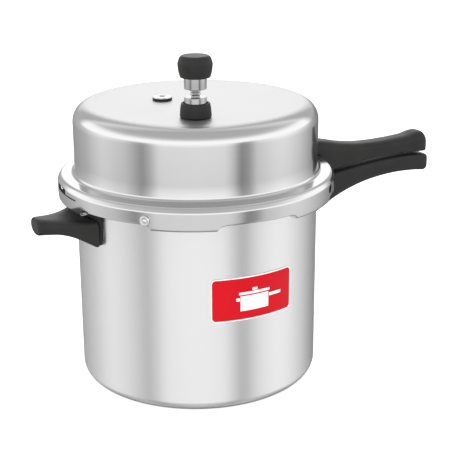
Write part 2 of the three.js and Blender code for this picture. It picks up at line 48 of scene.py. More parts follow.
MM = 0.001
ROUND = 192  # segments round the pot and the lid
FINE = 72  # segments round the vent, the weight and the plug
SMALL = 36  # segments round rivets, screws and inserts
GAP = 0.3  # clearance between neighbouring pieces
ON_AXIS = 1e-6  # a radius below this is a point on the axis
SHARP = 32  # faces that meet at more than this keep a sharp edge

PITCH = 60  # between two lugs of the lid, or two tongues of the pot
POT = {
    "radius": 122.5, "wall": 3, "base": 5, "corner": 12, "flange": 128, "low": 198.6, "top": 202,
}
TONGUE = {"half": 13.5, "inner": 124, "radius": 136.9, "lip_low": 195.4, "lip": 2.5}
LUG = {"half": 12.6, "low": 191.6, "top": 194.6, "inner": 128.8, "skirt_low": 197}
LID = {"wall": 2.5, "radius": 122.8, "skirt": 140.2, "top": 285}
# The outside of the lid as (radius, height, rounding): the top falls slightly towards its edge, the
# wall flares a little at its foot and turns out into a shelf, and the shelf turns down over a steep
# shoulder into the upright skirt.
LID_OUTSIDE = [
    (0, LID["top"], 0),
    (95, LID["top"], 200),
    (LID["radius"], 283.4, 18),
    (LID["radius"], 225.1, 70),
    (124.3, 216.15, 4),
    (137.13, 214.87, 4.5),
    (LID["skirt"], 209.56, 4),
    (LID["skirt"], 200, 0),
]
# Openings in the skirt, as (name, start, end, low, high), and the round hole at the right.
SLOTS = [("window", 168, 180, 204.4, 210.2), ("slit", 179, 189.6, 204.4, 205.7)]
SKIRT_HOLE = {"angle": -46, "height": 205.6, "radius": 4.8}
STOP_RIVET = {"angle": -134.8, "height": 201.5}
LABEL = {"middle": -89, "half": 20.6, "low": 95, "high": 139, "corner": 5, "thickness": 0.35}
LONG_SCREW, SHORT_SCREW = 190, 150  # where the grips' screws stand, from the axis
ROOM = {"shank": 2.5, "head": 4.8, "insert": 4.6}  # radii of the holes in the grips
HELPER_WINDOW = (9.2, 165.8, 181.6)  # the helper bracket's half angle, low and high
VENT = (-33.4, -71.6)  # where the vent stands on the lid
PLUG = (-30, 14)  # where the safety plug stands on the lid


# ------------------------------------------------------------------ mesh helpers


def add_object(name, mesh):
    piece = bpy.data.objects.new(name, mesh)
    bpy.context.scene.collection.objects.link(piece)
    return piece


def solid(name, vertices, faces):
    """A new piece from points in millimetres."""
    mesh = bpy.data.meshes.new(name)
    mesh.from_pydata([Vector(point) * MM for point in vertices], [], faces)
    return add_object(name, mesh)


def arc(r, z, radius, start, end, steps=10):
    """Points of an arc about (r, z)."""
    angles = [math.radians(start + (end - start) * i / steps) for i in range(steps + 1)]
    return [(r + radius * math.cos(a), z + radius * math.sin(a)) for a in angles]


def rounded(corners, steps=5):
    """A closed outline through (r, z) or (r, z, rounding) corners, each rounded that much."""
    outline = []
    for i, corner in enumerate(corners):
        here = Vector(corner[:2])
        size = corner[2] if len(corner) > 2 else 0
        if not size:
            outline.append(tuple(here))
            continue
        back = (Vector(corners[i - 1][:2]) - here).normalized()
        ahead = (Vector(corners[(i + 1) % len(corners)][:2]) - here).normalized()
        half = back.angle(ahead) / 2
        centre = here + (back + ahead).normalized() * size / math.sin(half)
        first = here + back * size / math.tan(half) - centre
        last = here + ahead * size / math.tan(half) - centre
        sweep = first.angle_signed(last)
        for step in range(steps + 1):
            outline.append(tuple(centre + Matrix.Rotation(-sweep * step / steps, 2) @ first))
    return outline


def lid_outline(distance=0):
    """The outside of the lid from its top's middle to the skirt, moved outwards by a distance."""
    steps = 16
    points = [Vector(corner[:2]) for corner in LID_OUTSIDE]
    sides = [(b - a).normalized().orthogonal() for a, b in zip(points, points[1:])]
    corners = []
    for i, (point, corner) in enumerate(zip(points, LID_OUTSIDE)):
        before, after = sides[max(i - 1, 0)], sides[min(i, len(sides) - 1)]
        moved = point + (before + after) * distance / (1 + before.dot(after))
        turn = math.copysign(1, before.cross(after))
        corners.append((moved.x, moved.y, corner[2] and corner[2] - turn * distance))
    return rounded(corners, steps)


def turned(name, outline, segments=ROUND):
    """A body of revolution from (radius, height) points, anticlockwise with the axis at left."""
    angles = [2 * math.pi * i / segments for i in range(segments)]
    vertices = []
    rings = []
    for radius, height in outline:
        start = len(vertices)
        if radius < ON_AXIS:
            vertices.append((0, 0, height))
            rings.append([start] * segments)
        else:
            vertices += [(radius * math.cos(a), radius * math.sin(a), height) for a in angles]
            rings.append(list(range(start, start + segments)))
    pairs = list(zip(rings, rings[1:]))
    if outline[0][0] > ON_AXIS:
        pairs.append((rings[-1], rings[0]))
    faces = []
    for low, high in pairs:
        for i in range(segments):
            j = (i + 1) % segments
            corners = [low[i], low[j], high[j], high[i]]
            faces.append(sorted(set(corners), key=corners.index))
    return solid(name, vertices, faces)


def cylinder(name, radius, low, high, segments=ROUND):
    """A cylinder on the Z axis."""
    return turned(name, [(0, low), (radius, low), (radius, high), (0, high)], segments)


def bent(name, outline, start, end):
    """An outline of (radius, height) points, anticlockwise, swept round Z between two angles."""
    step = 1.5
    steps = max(2, math.ceil((end - start) / step))
    vertices = []
    for i in range(steps + 1):
        a = math.radians(start + (end - start) * i / steps)
        vertices += [(r * math.cos(a), r * math.sin(a), z) for r, z in outline]
    return swept(name, vertices, len(outline), steps)


def swept(name, vertices, count, steps):
    """A body from rings of count points, anticlockwise as seen from the far end."""
    faces = [tuple(range(count)), tuple(range(len(vertices) - 1, len(vertices) - 1 - count, -1))]
    for i in range(steps):
        for k in range(count):
            near, far = count * i + k, count * i + (k + 1) % count
            faces.append((near, near + count, far + count, far))
    return solid(name, vertices, faces)


def bent_block(name, inner, outer, start, end, low, high):
    return bent(name, [(inner, low), (outer, low), (outer, high), (inner, high)], start, end)


def prism(name, outline, low, high):
    """A flat outline of (x, y) points, anticlockwise, drawn out along Z."""
    count = len(outline)
    vertices = [(x, y, z) for z in (low, high) for x, y in outline]
    faces = [tuple(range(count - 1, -1, -1)), tuple(range(count, 2 * count))]
    for i in range(count):
        j = (i + 1) % count
        faces.append((i, j, j + count, i + count))
    return solid(name, vertices, faces)


def rounded_rectangle(length, width, corner):
    x, y = length / 2, width / 2
    corners = [(-x, -y, corner), (x, -y, corner), (x, y, corner), (-x, y, corner)]
    return rounded(corners, 6)


def box(name, x0, x1, half_width, z0, z1):
    xs, ys, zs = (x0, x1), (-half_width, half_width), (z0, z1)
    vertices = [(x, y, z) for x in xs for y in ys for z in zs]
    faces = [(0, 1, 3, 2), (4, 6, 7, 5), (0, 4, 5, 1), (2, 3, 7, 6), (0, 2, 6, 4), (1, 5, 7, 3)]
    return solid(name, vertices, faces)


def plate_along_x(name, outline, half_width):
    """A plate whose outline lies in the XZ plane."""
    count = len(outline)
    vertices = [(x, side * half_width, z) for side in (-1, 1) for x, z in outline]
    faces = [tuple(range(count)), tuple(range(2 * count - 1, count - 1, -1))]
    for i in range(count):
        j = (i + 1) % count
        faces.append((i, i + count, j + count, j))
    return solid(name, vertices, faces)


def spline(values, spot):
    """The Catmull-Rom curve through values, at a spot counted in values."""
    last = len(values) - 1
    i = min(int(spot), last - 1)
    t = spot - i
    a, b, c, d = (values[min(max(k, 0), last)] for k in range(i - 1, i + 3))
    return 0.5 * (
        2 * b + (c - a) * t + (2 * a - 5 * b + 4 * c - d) * t**2 + (3 * b - a - 3 * c + d) * t**3
    )


def bar(name, rows, flat_side=0):
    """A moulded grip along X, from rows of (x, bottom, top, half width, squareness).

    Each section is a superellipse, which is an ellipse at a squareness of 2 and nearer a rectangle
    above it. The flat side, 1 for the top and -1 for the bottom, is nearly a plane. The far end's
    edge is rounded off.
    """
    flat_squareness = 7
    end_round = 1.2
    per_row, around = 8, 96  # sections between two rows, and points round a section
    columns = list(zip(*rows))
    count = (len(rows) - 1) * per_row
    sections = [[spline(column, i / per_row) for column in columns] for i in range(count + 1)]
    x, low, high, half, square = sections[-1]
    sections[-1][0] = x - end_round
    for angle in (20, 40, 60, 75, 90):
        inset = end_round * (1 - math.cos(math.radians(angle)))
        ahead = end_round * math.sin(math.radians(angle))
        sections.append([x - end_round + ahead, low + inset, high - inset, half - inset, square])
    vertices = []
    for x, low, high, half, square in sections:
        middle, rise = (low + high) / 2, (high - low) / 2
        for j in range(around):
            angle = 2 * math.pi * (j + 0.5) / around
            across, up = math.cos(angle), math.sin(angle)
            power = 2 / (flat_squareness if up * flat_side > 0 else square)
            y = half * math.copysign(abs(across) ** power, across)
            vertices.append((x, y, middle + rise * math.copysign(abs(up) ** power, up)))
    faces = []
    for i in range(len(sections) - 1):
        for j in range(around):
            here, there = i * around, (i + 1) * around
            k = (j + 1) % around
            faces.append((here + j, here + k, there + k, there + j))
    last = (len(sections) - 1) * around
    faces.append(tuple(range(around - 1, -1, -1)))
    faces.append(tuple(range(last, last + around)))
    return solid(name, vertices, faces)


def bake(piece):
    """Applies a piece's modifiers."""
    graph = bpy.context.evaluated_depsgraph_get()
    mesh = bpy.data.meshes.new_from_object(piece.evaluated_get(graph))
    piece.modifiers.clear()
    old = piece.data
    piece.data = mesh
    mesh.name = piece.name
    bpy.data.meshes.remove(old)


def combine(piece, tools, operation):
    for tool in tools:
        modifier = piece.modifiers.new(operation, "BOOLEAN")
        modifier.operation = operation
        modifier.solver = "EXACT"
        modifier.object = tool
    bake(piece)
    for tool in tools:
        bpy.data.objects.remove(tool)
    return piece


def carve(piece, *tools):
    return combine(piece, tools, "DIFFERENCE")


def fuse(piece, *tools):
    return combine(piece, tools, "UNION")


def place(piece, x=0, y=0, z=0, turn=0):
    """Moves a piece's points, in millimetres, and turns them round Z."""
    piece.data.transform(Matrix.Rotation(math.radians(turn), 4, "Z"))
    piece.data.transform(Matrix.Translation(Vector((x, y, z)) * MM))
    return piece


def point_out(piece, angle, z, sideways=0):
    """Turns a piece drawn along +Z so that it points out from the Z axis."""
    piece.data.transform(Matrix.Rotation(math.pi / 2, 4, "Y"))
    place(piece, 0, sideways, z)
    return place(piece, turn=angle)


def drill(x, radius, low, high):
    """A round tool on the line y = 0."""
    return place(cylinder("drill", radius, low, high, SMALL), x)


def smooth(piece):
    """Shades a piece smoothly, but for its sharp edges."""
    piece.data.shade_smooth()
    piece.data.set_sharp_from_angle(angle=math.radians(SHARP))
    return piece


def smooth_turned(piece):
    """Shades a turned piece as truly round: each normal points straight away from the Z axis.

    A level face gets an upright normal. The sides of a cut, which face neither way, are left alone.
    """
    aligned = 0.999
    smooth(piece)
    mesh = piece.data
    current = [Vector(corner.vector) for corner in mesh.corner_normals]
    normals = [Vector((0, 0, 0))] * len(current)
    for face in mesh.polygons:
        centre = Vector((face.center.x, face.center.y, 0))
        flat = Vector((face.normal.x, face.normal.y, 0))
        upright = abs(face.normal.z) > aligned
        if not upright and abs(flat.normalized().dot(centre.normalized())) < aligned:
            continue
        for loop in face.loop_indices:
            normal = current[loop]
            spot = mesh.vertices[mesh.loops[loop].vertex_index].co
            outward = Vector((spot.x, spot.y, 0)).normalized()
            level = Vector((normal.x, normal.y, 0)).length
            sign = 1 if flat.dot(centre) > 0 else -1
            normals[loop] = Vector((0, 0, math.copysign(1, face.normal.z)))
            if not upright:
                normals[loop] = outward * level * sign + Vector((0, 0, normal.z))
    mesh.normals_split_custom_set(normals)
    return piece


# ------------------------------------------------------------------ material helpers


def wire(tree, kind, inputs=None, **settings):
    """Adds a node. An input is a number, a colour, or another node's output."""
    added = tree.nodes.new(kind)
    for name, value in settings.items():
        setattr(added, name, value)
    for name, value in (inputs or {}).items():
        if isinstance(value, bpy.types.NodeSocket):
            tree.links.new(value, added.inputs[name])
        else:
            added.inputs[name].default_value = value
    return added


def calc(tree, operation, *values):
    return wire(tree, "ShaderNodeMath", dict(enumerate(values)), operation=operation).outputs[0]


def blend(tree, factor, low, high):
    """A colour between two others."""
    mix = wire(tree, "ShaderNodeMix", data_type="RGBA")
    for socket, value in ((mix.inputs[0], factor), (mix.inputs[6], low), (mix.inputs[7], high)):
        if isinstance(value, bpy.types.NodeSocket):
            tree.links.new(value, socket)
        else:
            socket.default_value = value
    return mix.outputs[2]


def spread(tree, value, low, high, to_low=0.0, to_high=1.0):
    """Moves a value from one range to another, and stops at its ends."""
    inputs = {"Value": value, 1: low, 2: high, 3: to_low, 4: to_high}
    return wire(tree, "ShaderNodeMapRange", inputs).outputs[0]


def new_material(name, constants):
    """A material, its nodes and its shader, with some of the shader's own values set."""
    material = bpy.data.materials.new(name)
    material.use_nodes = True
    shader = material.node_tree.nodes["Principled BSDF"]
    for socket, value in constants.items():
        shader.inputs[socket].default_value = value
    return material, material.node_tree, shader


def grey(level, warmth=0.0):
    return (level * (1 + warmth), level, level * (1 - warmth), 1)


def dimmed(colour, share):
    return (*(level * share for level in colour[:3]), 1)


def place_of(tree):
    return wire(tree, "ShaderNodeTexCoord").outputs["Object"]


def noise(tree, vector, scale, detail=3.0):
    inputs = {"Vector": vector, "Scale": scale, "Detail": detail}
    return wire(tree, "ShaderNodeTexNoise", inputs).outputs[0]


def height_of(tree):
    return wire(tree, "ShaderNodeSeparateXYZ", {0: place_of(tree)}).outputs[2]


def rings(tree, axis, scale):
    """Fine lines that run round an upright axis, as turning and polishing leave them."""
    per_turn = 0.0004  # how slowly a line changes on its way round
    x, y, z = wire(tree, "ShaderNodeSeparateXYZ", {0: place_of(tree)}).outputs
    across = calc(tree, "SUBTRACT", x, axis[0] * MM)
    along = calc(tree, "SUBTRACT", y, axis[1] * MM)
    square = calc(tree, "MULTIPLY", across, across)
    radius = calc(tree, "SQRT", calc(tree, "MULTIPLY_ADD", along, along, square))
    turn = calc(tree, "MULTIPLY", calc(tree, "ARCTAN2", along, across), per_turn)
    inputs = {"X": radius, "Y": z, "Z": turn}
    return noise(tree, wire(tree, "ShaderNodeCombineXYZ", inputs).outputs[0], scale, 2.0)


def bump(tree, shader, height, distance):
    inputs = {"Height": height, "Distance": distance, "Strength": 1.0}
    tree.links.new(wire(tree, "ShaderNodeBump", inputs).outputs[0], shader.inputs["Normal"])


def metal(name, colour, roughness, vary, lines, axis=(0, 0), scale=900.0):
    """A turned or drawn metal: fine lines round an axis, and slightly uneven gloss and colour."""
    material, tree, shader = new_material(name, {"Metallic": 1.0})
    fine = rings(tree, axis, scale)
    cloudy = noise(tree, place_of(tree), 22.0)
    tone = spread(tree, calc(tree, "ADD", fine, cloudy), 0.7, 1.3)
    uneven = blend(tree, tone, dimmed(colour, 0.98), colour)
    tree.links.new(uneven, shader.inputs["Base Color"])
    gloss = spread(tree, tone, 0.0, 1.0, roughness - vary, roughness + vary)
    tree.links.new(gloss, shader.inputs["Roughness"])
    bump(tree, shader, fine, lines)
    return material


def satin_metal(name, colour, roughness, foot):
    """A finely brushed metal. Up to a height, its foot is painted darker, as painted shade for the
    dark band along the rounded foot, and it is rougher there.
    """
    material, tree, shader = new_material(name, {"Metallic": 0.92})
    above_shade = spread(tree, height_of(tree), (foot - 1) * MM, foot * MM)
    # Painted shade: below the foot height the colour is darkened by a tenth.
    shaded_foot = blend(tree, above_shade, dimmed(colour, 0.9), colour)
    tree.links.new(shaded_foot, shader.inputs["Base Color"])
    gloss = spread(tree, above_shade, 0.0, 1.0, roughness + 0.1, roughness)
    tree.links.new(gloss, shader.inputs["Roughness"])
    return material


def soften_above(material, low, high, extra):
    """Makes a material rougher from a low height up to a high one, like the lid's flat top."""
    tree = material.node_tree
    rough = tree.nodes["Principled BSDF"].inputs["Roughness"]
    more = spread(tree, height_of(tree), low * MM, high * MM, 0.0, extra)
    tree.links.new(calc(tree, "ADD", rough.links[0].from_socket, more), rough)


def moulded(name, level, roughness, grain):
    """A moulded black: a fine grain, slightly uneven gloss and a faint mottle."""
    material, tree, shader = new_material(name, {"Specular IOR Level": 0.14})
    black = grey(level, warmth=0.02)
    fine = noise(tree, place_of(tree), 1400.0, 4.0)
    mottle = noise(tree, place_of(tree), 60.0)
    tone = blend(tree, spread(tree, mottle, 0.35, 0.65), dimmed(black, 0.88), black)
    tree.links.new(tone, shader.inputs["Base Color"])
    gloss = spread(tree, mottle, 0.3, 0.7, roughness - 0.04, roughness + 0.04)
    tree.links.new(gloss, shader.inputs["Roughness"])
    bump(tree, shader, fine, grain)
    return material


# ------------------------------------------------------------------ materials

CLOSE = 1500.0  # the scale of the lines on small turned pieces

# The lowest 5.5 mm of the pot get painted shade and a rougher finish.
satin_aluminium = satin_metal("satin_aluminium", grey(0.87), roughness=0.26, foot=5.5)
polished_aluminium = metal("polished_aluminium", grey(0.7), 0.13, vary=0.02, lines=6e-6)
soften_above(polished_aluminium, LID["top"] - 5, LID["top"] - 0.4, extra=0.3)
rivet_aluminium = metal("rivet_aluminium", grey(0.85), 0.2, vary=0.03, lines=1e-5)
plug_steel = metal("plug_steel", grey(0.8), 0.18, vary=0.03, lines=6e-6, axis=PLUG, scale=CLOSE)
polished_steel = metal(
    "polished_steel", grey(0.5), 0.07, vary=0.02, lines=2e-6, axis=VENT, scale=CLOSE
)
pressed_steel = metal("pressed_steel", grey(0.66), 0.24, vary=0.04, lines=1e-5)
turned_brass = metal("turned_brass", (0.72, 0.55, 0.27, 1), 0.28, vary=0.04, lines=1e-5)
fusible_metal = metal("fusible_metal", grey(0.2), 0.5, vary=0.06, lines=2e-5)
phenolic = moulded("phenolic", 0.021, 0.34, grain=1.2e-5)
rubber = moulded("rubber", 0.022, 0.62, grain=3e-5)

RED, DEEP_RED = (0.5, 0.002, 0.009, 1), (0.46, 0.001, 0.007, 1)
PALE = (0.75, 0.74, 0.73, 1)  # the sticker's border
WHITE = (0.86, 0.85, 0.85, 1)  # the pictogram
# The pictogram's boxes, as (across, up, half width, half height) from the sticker's middle: the
# pot, its lid, the lid's knob, the long handle and the short one.
PICTOGRAM = [
    (0, -5, 15, 7.5), (0, 5.2, 16.5, 1.2), (0, 8.6, 2.6, 1.2), (23, -0.6, 7, 1.5),
    (-17.5, -0.6, 1.8, 1.5),
]


def beyond(tree, value, half):
    """How far a value is past a half width, on either side of 0."""
    return calc(tree, "SUBTRACT", calc(tree, "ABSOLUTE", value), half * MM)


def outside(tree, across, up, shape):
    """The distance outside a box of the pictogram, below 0 inside it."""
    x, y, half_width, half_height = shape
    beside = beyond(tree, calc(tree, "SUBTRACT", across, x * MM), half_width)
    above = beyond(tree, calc(tree, "SUBTRACT", up, y * MM), half_height)
    return calc(tree, "MAXIMUM", beside, above)


def printed_label():
    """A red sticker with a pale border and a plain white pictogram of a pot, with no lettering."""
    material, tree, shader = new_material("printed_label", {"Specular IOR Level": 0.12})
    x, y, z = wire(tree, "ShaderNodeSeparateXYZ", {0: place_of(tree)}).outputs
    middle = math.radians(LABEL["middle"])
    angle = calc(tree, "SUBTRACT", calc(tree, "ARCTAN2", y, x), middle)
    across = calc(tree, "MULTIPLY", angle, POT["radius"] * MM)
    up = calc(tree, "SUBTRACT", z, (LABEL["low"] + LABEL["high"]) / 2 * MM)
    corner = LABEL["corner"]
    half_width = math.radians(LABEL["half"]) * POT["radius"] - corner
    half_height = (LABEL["high"] - LABEL["low"]) / 2 - corner
    beside = calc(tree, "MAXIMUM", beyond(tree, across, half_width), 0.0)
    above = calc(tree, "MAXIMUM", beyond(tree, up, half_height), 0.0)
    square = calc(tree, "MULTIPLY_ADD", beside, beside, calc(tree, "MULTIPLY", above, above))
    border = spread(tree, calc(tree, "SQRT", square), (corner - 1.3) * MM, (corner - 1) * MM)
    nearest = outside(tree, across, up, PICTOGRAM[0])
    for shape in PICTOGRAM[1:]:
        nearest = calc(tree, "MINIMUM", nearest, outside(tree, across, up, shape))
    picture = spread(tree, nearest, 0.15 * MM, -0.15 * MM)
    mottle = noise(tree, place_of(tree), 90.0)
    printed = blend(tree, picture, blend(tree, mottle, DEEP_RED, RED), WHITE)
    tree.links.new(blend(tree, border, printed, PALE), shader.inputs["Base Color"])
    tree.links.new(spread(tree, mottle, 0.3, 0.7, 0.3, 0.36), shader.inputs["Roughness"])
    bump(tree, shader, mottle, 1e-5)
    return material


label_print = printed_label()

# ------------------------------------------------------------------ camera, floor and light

CAMERA_PLACE = (-0.4605, -0.9875, 0.5153)  # metres
CAMERA_TURN = 26.78  # the camera's heading, from +Y towards +X
CAMERA_PITCH = 18.67  # below the horizon
CAMERA_ROLL = -0.23
CAMERA_LENS = 86.74
POT_MIDDLE = (0, 0, 0.15)  # what the lamps face, in metres

camera_data = bpy.data.cameras.new("camera")
camera_data.lens = CAMERA_LENS
camera_data.sensor_width = 36
camera = add_object("camera", camera_data)
camera.matrix_world = (
    Matrix.Translation(CAMERA_PLACE)
    @ Matrix.Rotation(math.radians(-CAMERA_TURN), 4, "Z")
    @ Matrix.Rotation(math.radians(90 - CAMERA_PITCH), 4, "X")
    @ Matrix.Rotation(math.radians(CAMERA_ROLL), 4, "Z")
)
bpy.context.scene.camera = camera
bpy.context.scene.view_settings.view_transform = "Standard"

FRONT = -115.0  # the direction from the pot towards the camera, round Z from +X

# What upright walls mirror, as (degrees round from the front, brightness): two dark stripes stand
# either side of a bright front, and the light falls off towards the back.
BANDS = [
    (-180, 0.25), (-150, 0.38), (-122, 0.55), (-108, 0.72), (-96, 0.84), (-86, 0.8), (-68, 0.68),
    (-58, 0.5), (-50, 0.34), (-42, 0.56), (-34, 0.88), (0, 0.92), (26, 0.9), (33, 0.7), (41, 0.28),
    (49, 0.4), (57, 0.74), (75, 0.9), (85, 0.94), (95, 0.89), (107, 0.77), (120, 0.6), (137, 0.36),
    (155, 0.2), (180, 0.25),
]
# What the top and the rounded shoulder mirror, as (degrees above the horizon, brightness).
SKY = [(0, 1.38), (20, 1.34), (26, 1.1), (34, 0.72), (46, 0.58), (90, 0.56)]
# A bright panel stands behind the pot, as (degrees from its middle, brightness).
PANEL_HEIGHT = 28.0  # degrees above the horizon
PANEL = [(0, 1.43), (22, 1.41), (36, 1.2), (50, 0.88), (68, 0.6), (90, 0.0)]
# Two grey flags stand in that sky, as (degrees round from the front to either side, how grey).
FLAGS = [(0, 0.0), (126, 0.0), (138, 1.0), (156, 1.0), (167, 0.0), (180, 0.0)]
FLAG_GREY = 0.55
BRIGHTEST = 1.5  # a ramp holds shares of this
# The walls' light below the horizon, as (start, end, share at the start, share at the end) of the
# direction's upward part: the table is dark, and the light just below the horizon is stronger.
TABLE = (-0.72, -0.64, 0.55, 1.0)
LOW_WALL = (-0.28, -0.04, 1.0, 1.32)
HORIZON = (0.02, 0.12)  # where the walls give way to the sky


def ramp(tree, value, stops, low, high):
    """Brightness along a run of (value, brightness) stops between a low and a high value."""
    added = wire(tree, "ShaderNodeValToRGB", {0: spread(tree, value, low, high)})
    added.color_ramp.interpolation = "LINEAR"
    elements = added.color_ramp.elements
    while len(elements) < len(stops):
        elements.new(0.5)
    for element, (stop, level) in zip(elements, stops):
        element.position = (stop - low) / (high - low)
        element.color = grey(level / BRIGHTEST)
    return added.outputs[0]


def build_world():
    """The studio that the metal mirrors. The camera itself sees plain white."""
    world = bpy.data.worlds.new("studio")
    bpy.context.scene.world = world
    world.use_nodes = True
    tree = world.node_tree
    tree.nodes.clear()
    direction = wire(tree, "ShaderNodeTexCoord").outputs["Generated"]
    inputs = {"Vector": direction, "Angle": math.radians(-FRONT)}
    from_front = wire(tree, "ShaderNodeVectorRotate", inputs, rotation_type="Z_AXIS").outputs[0]
    front, side, up = wire(tree, "ShaderNodeSeparateXYZ", {0: from_front}).outputs
    degrees = 180 / math.pi
    azimuth = calc(tree, "MULTIPLY", calc(tree, "ARCTAN2", side, front), degrees)
    elevation = calc(tree, "MULTIPLY", calc(tree, "ARCSINE", up), degrees)

    panel_height = math.radians(PANEL_HEIGHT)
    raised = calc(tree, "MULTIPLY", up, math.sin(panel_height))
    facing = calc(tree, "MULTIPLY_ADD", front, -math.cos(panel_height), raised)
    from_panel = calc(tree, "MULTIPLY", calc(tree, "ARCCOSINE", facing), degrees)
    panel = ramp(tree, from_panel, PANEL, 0, 90)
    lit = calc(tree, "MAXIMUM", panel, ramp(tree, elevation, SKY, 0, 90))
    shaded = ramp(tree, calc(tree, "ABSOLUTE", azimuth), FLAGS, 0, 180)
    flags = calc(tree, "MULTIPLY", shaded, BRIGHTEST)
    sky = blend(tree, flags, lit, grey(FLAG_GREY / BRIGHTEST))

    walls = ramp(tree, azimuth, BANDS, -180, 180)
    table = calc(tree, "MULTIPLY", spread(tree, up, *TABLE), walls)
    low_wall = calc(tree, "MULTIPLY", spread(tree, up, *LOW_WALL), table)
    mirrored = blend(tree, spread(tree, up, *HORIZON), low_wall, sky)
    straight = wire(tree, "ShaderNodeLightPath").outputs["Is Camera Ray"]
    colour = blend(tree, straight, mirrored, grey(1 / BRIGHTEST))
    light = wire(tree, "ShaderNodeBackground", {"Color": colour, "Strength": BRIGHTEST})
    output = wire(tree, "ShaderNodeOutputWorld")
    tree.links.new(light.outputs[0], output.inputs[0])


def build_floor():
    """A white floor that glows a little, so that it meets the white background unseen."""
    half = 12000  # millimetres
    corners = [(-half, -half, 0), (half, -half, 0), (half, half, 0), (-half, half, 0)]
    floor = solid("floor", corners, [(0, 1, 2, 3)])
    constants = {
        "Roughness": 0.9,
        "Specular IOR Level": 0.1,
        "Emission Color": (1, 1, 1, 1),
        "Emission Strength": 0.55,
    }
    material, tree, shader = new_material("floor", constants)
    tone = blend(tree, noise(tree, place_of(tree), 3.0), grey(0.78), grey(0.8))
    tree.links.new(tone, shader.inputs["Base Color"])
    floor.data.materials.append(material)
    floor.visible_glossy = False


def soft_box(name, watts, size, position):
    """A large lamp that lights the pieces but isn't mirrored in them. It faces the pot."""
    aim = Vector(POT_MIDDLE) - Vector(position)
    data = bpy.data.lights.new(name, "AREA")
    data.shape = "SQUARE"
    data.size = size
    data.energy = watts
    lamp = add_object(name, data)
    lamp.location = position
    lamp.rotation_euler = aim.to_track_quat("-Z", "Y").to_euler()
    lamp.visible_glossy = False


build_world()
build_floor()
soft_box("overhead", watts=55, size=2.4, position=(-0.3, -0.3, 2.6))
soft_box("front", watts=14, size=1.6, position=(-1.3, -1.8, 1.2))

# ------------------------------------------------------------------ how a piece joins the frame


def fit(piece, body, material, node):
    """Gives a piece its material and its body, and hides the CAD node that it stands for."""
    piece.data.materials.clear()
    piece.data.materials.append(material)
    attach(piece, body)
    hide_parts(node)


# ------------------------------------------------------------------ pot


def pot_shell():
    inner = POT["radius"] - POT["wall"]
    bend, inner_corner = 1.5, 9
    body = turned("pot", [
        (0, 0),
        *arc(POT["radius"] - POT["corner"], POT["corner"], POT["corner"], -90, 0, 16),
        *arc(POT["radius"] + bend, POT["low"] - bend, bend, 180, 90, 5),
        (POT["flange"], POT["low"]),
        (POT["flange"], POT["top"]),
        *arc(inner + bend, POT["top"] - bend, bend, 90, 180, 5),
        *arc(inner - inner_corner, POT["base"] + inner_corner, inner_corner, 0, -90, 8),
        (0, POT["base"]),
    ])
    edge = TONGUE["radius"]
    outline = rounded([
        (TONGUE["inner"], POT["low"]),
        (edge - TONGUE["lip"], POT["low"], 0.8),
        (edge - TONGUE["lip"], TONGUE["lip_low"], 0.6),
        (edge, TONGUE["lip_low"], 0.6),
        (edge, POT["top"], 1.6),
        (TONGUE["inner"], POT["top"]),
    ])
    tongues = [
        bent("tongue", outline, middle - TONGUE["half"], middle + TONGUE["half"])
        for middle in range(0, 360, PITCH)
    ]
    return smooth_turned(fuse(body, *tongues))


def pot_label():
    inner = POT["radius"] + GAP
    outer = inner + LABEL["thickness"]
    middle, half, low, high = (LABEL[key] for key in ("middle", "half", "low", "high"))
    sheet = bent_block("pot_label_sheet", inner, outer, middle - half, middle + half, low, high)
    length = 2 * inner * math.sin(math.radians(half))
    outline = prism("outline", rounded_rectangle(high - low, length, LABEL["corner"]), 90, 150)
    point_out(outline, middle, (low + high) / 2)
    return smooth_turned(combine(sheet, [outline], "INTERSECT"))


def rivet(name, inner, outer, outer_head):
    """A rivet along Z through a wall from inner to outer, with a low dome at each end."""
    shank, dome, inner_head = 2.1, 0.55, 3.3
    low = [(r, inner + (z - inner) * dome) for r, z in arc(0, inner, inner_head, -90, 0, 8)]
    high = [(r, outer + (z - outer) * dome) for r, z in arc(0, outer, outer_head, 0, 90, 8)]
    return smooth(turned(name, [*low, (shank, inner), (shank, outer), *high], SMALL))


def screw(name, x, head_low, head_high, top):
    """A slotted screw that stands upright, driven from below."""
    head, shank = 4, 2
    outline = rounded([
        (0, head_low),
        (head, head_low, 0.8),
        (head, head_high, 0.2),
        (shank, head_high),
        (shank, top, 0.7),
        (0, top),
    ])
    slot = box("slot", -5, 5, 0.6, head_low - 1, head_low + 1)
    return smooth(place(carve(turned(name, outline, SMALL), slot), x))


def insert(name, x, low, high):
    """The brass thread in a grip that its screw runs into."""
    bore, outer = 2.3, 4.2
    corners = [(bore, low, 0.2), (outer, low, 0.3), (outer, high, 0.3), (bore, high, 0.2)]
    outline = rounded(corners)
    return smooth(place(turned(name, outline, SMALL), x))


# ------------------------------------------------------------------ grips


def pot_grip():
    body = bar("pot_grip", [
        (118, 139.4, 189, 17.5, 4),
        (140, 150.9, 189.6, 16, 3.6),
        (160, 161.9, 192.3, 14.6, 3.4),
        (180, 169.7, 194.6, 13.6, 3.2),
        (200, 175.2, 196.6, 13, 3.2),
        (221, 178.6, 198.3, 12.8, 3.2),
        (243, 180.1, 199.3, 13, 3.2),
        (264, 179.6, 199.2, 13.4, 3.2),
        (276, 178.4, 198.2, 13.2, 3.4),
        (279.6, 179, 196.8, 12.2, 3.4),
        (280.6, 180.8, 195, 10.8, 3.2),
    ], 1)
    tools = [
        cylinder("wall", POT["radius"] + 2, 100, 240),
        bent_block("plate", 118, 129.4, -6.8, 6.8, 151.2, 188),
        box("tongue", 120, 205.6, 6, 183.9, 187.5),
        drill(LONG_SCREW, ROOM["shank"], 150, 193),
        drill(LONG_SCREW, ROOM["head"], 150, 181.4),
        drill(LONG_SCREW, ROOM["insert"], 186, 191.6),
    ]
    return smooth(carve(body, *tools))


